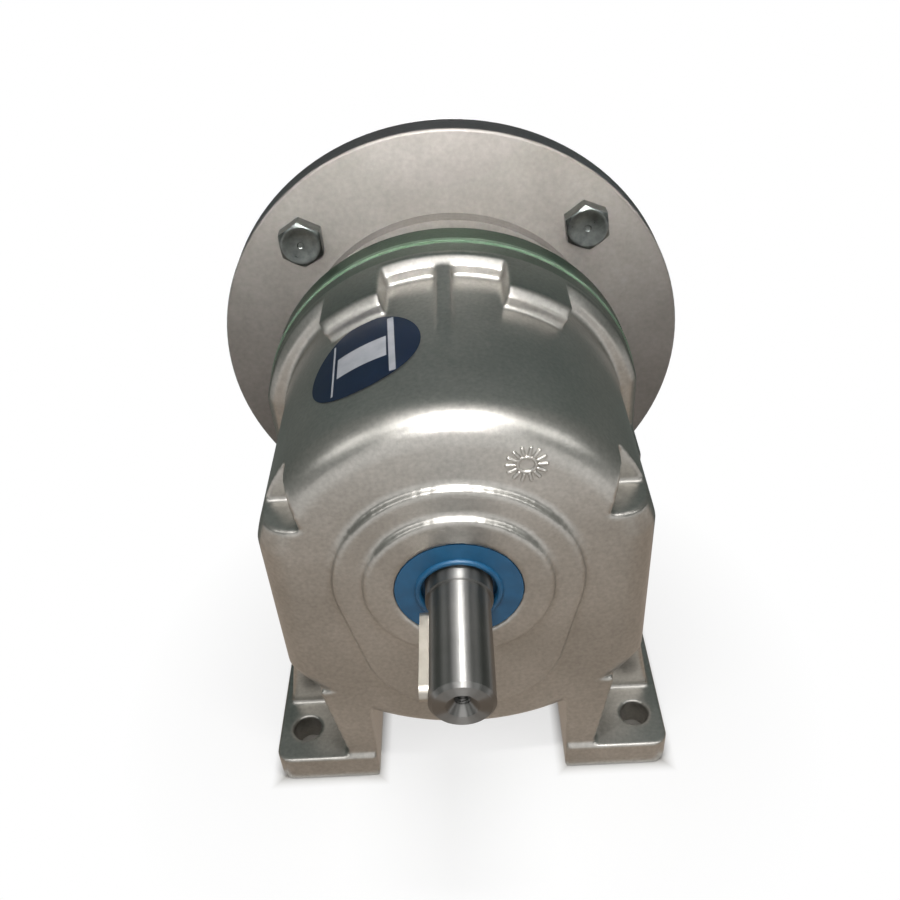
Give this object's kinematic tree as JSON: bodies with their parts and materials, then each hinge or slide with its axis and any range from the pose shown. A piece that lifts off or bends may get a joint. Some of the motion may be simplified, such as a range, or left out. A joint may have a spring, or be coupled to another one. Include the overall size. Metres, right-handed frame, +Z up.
{
  "type": "inline helical gearbox",
  "caption": "Foot-mounted inline helical gear reducer: die-cast housing, keyed output shaft in front, round motor flange behind, two helical stages inside.",
  "frame": {"origin": "centre of the foot bolt pattern on the base plane", "axes": "+Z up, output shaft towards -Y, motor flange towards +Y, +X to the right seen from the output end"},
  "size_m": [0.2, 0.222, 0.208],
  "materials": {
    "die_cast": "shot-blasted die-cast aluminium, satin",
    "cast_flange": "matte cast aluminium",
    "gasket": "green gasket sheet",
    "blue_seal": "blue moulded rubber",
    "black_seal": "black moulded rubber",
    "zinc": "zinc plated",
    "ground_steel": "ground and polished",
    "key_steel": "bright drawn key steel",
    "spring_steel": "phosphated spring steel",
    "bearing_steel": "ground bearing steel",
    "gear_steel": "case-hardened and ground"
  },
  "bodies": {
    "frame_body": {"housing": "die_cast", "cover_gasket": "gasket", "rear_cover": "cast_flange", "input_flange": "cast_flange", "cover_screws": "zinc", "motor_bolts": "zinc", "flange_screws": "zinc", "output_seal": "blue_seal", "input_seal": "black_seal", "output_bearing_circlip": "spring_steel", "input_bearing_circlip": "spring_steel", "input_front_bearing_outer_ring": "bearing_steel", "input_rear_bearing_outer_ring": "bearing_steel", "intermediate_front_bearing_outer_ring": "bearing_steel", "intermediate_rear_bearing_outer_ring": "bearing_steel", "output_front_bearing_outer_ring": "bearing_steel", "output_rear_bearing_outer_ring": "bearing_steel"},
    "output": {"output_shaft": "ground_steel", "output_key": "key_steel", "output_wheel": "gear_steel", "output_wheel_key": "gear_steel", "output_wheel_circlip": "spring_steel", "output_front_bearing_inner_ring": "bearing_steel", "output_rear_bearing_inner_ring": "bearing_steel"},
    "intermediate": {"intermediate_shaft": "gear_steel", "intermediate_wheel": "gear_steel", "intermediate_wheel_key": "gear_steel", "intermediate_spacer": "gear_steel", "intermediate_front_bearing_inner_ring": "bearing_steel", "intermediate_rear_bearing_inner_ring": "bearing_steel"},
    "input": {"input_shaft": "gear_steel", "input_bearing_spacer": "bearing_steel", "input_shaft_circlip": "spring_steel", "input_front_bearing_inner_ring": "bearing_steel", "input_rear_bearing_inner_ring": "bearing_steel"}
  },
  "joints": [
    {"name": "output_spin", "type": "hinge", "parent": "frame_body", "child": "output", "pos_m": [0, -0.0525, 0.108], "axis": [0, 1, 0], "continuous": true},
    {"name": "intermediate_spin", "type": "hinge", "parent": "frame_body", "child": "intermediate", "pos_m": [0, 0.0125, 0.064], "axis": [0, 1, 0], "continuous": true},
    {"name": "input_spin", "type": "hinge", "parent": "frame_body", "child": "input", "pos_m": [0, 0.0675, 0.108], "axis": [0, 1, 0], "continuous": true}
  ],
  "couplings": [
    {"joint": "intermediate_spin", "follows": "output_spin", "ratio": -3.0714},
    {"joint": "input_spin", "follows": "output_spin", "ratio": 7.9211}
  ]
}
